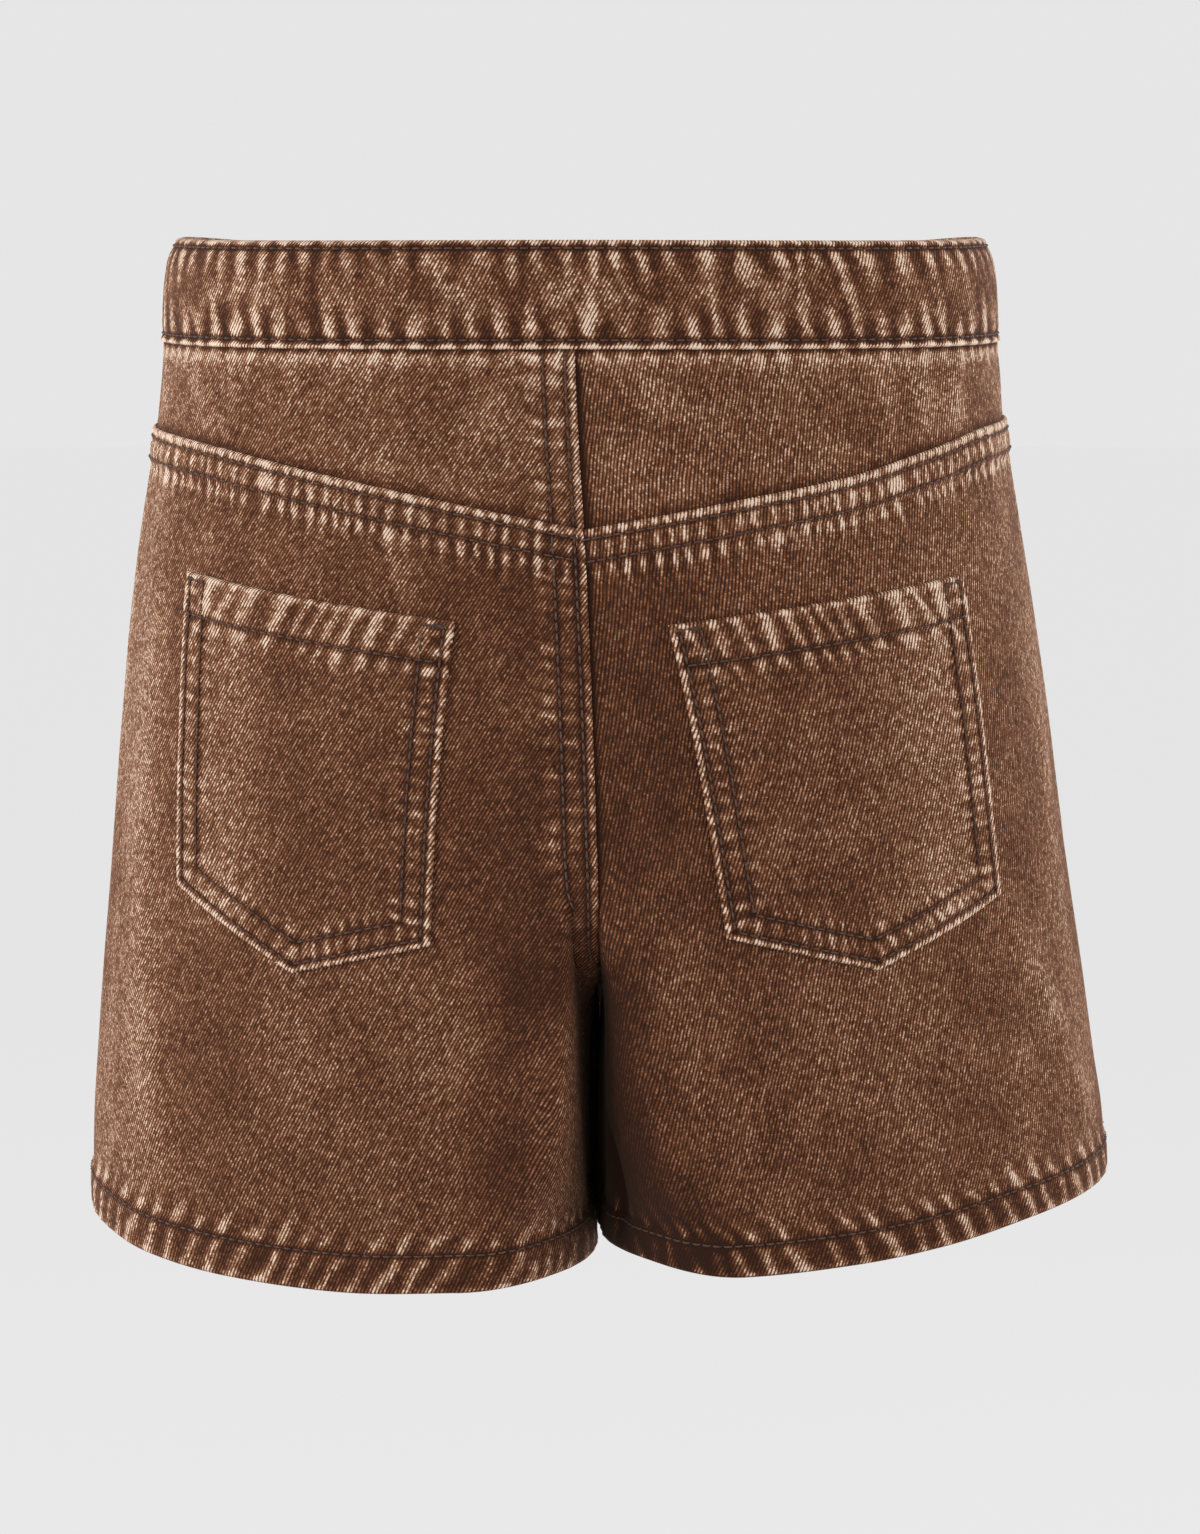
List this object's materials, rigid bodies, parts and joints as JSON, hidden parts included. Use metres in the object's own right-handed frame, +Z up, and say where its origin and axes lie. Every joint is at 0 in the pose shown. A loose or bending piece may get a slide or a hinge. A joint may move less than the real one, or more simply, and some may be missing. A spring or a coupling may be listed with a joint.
{
  "type": "denim skort",
  "caption": "Denim skort in its worn shape: shorts behind with yokes and patch pockets, a wrap skirt panel in front, a plain waistband with a shank button.",
  "frame": {"origin": "centre of the waist opening, at half the height of the waistband", "axes": "+Z up, the wearer faces -Y, +X is the wearer's left"},
  "size_m": [0.3721, 0.2375, 0.3629],
  "materials": {
    "denim": "matt brown washed twill",
    "button": "antique"
  },
  "bodies": {
    "root": {"waistband": "denim", "waist_button": "button", "yoke_left": "denim", "yoke_right": "denim", "back_left": "denim", "back_right": "denim", "pocket_left": "denim", "pocket_right": "denim", "front_left": "denim", "front_right": "denim", "skirt_front": "denim"}
  },
  "joints": []
}
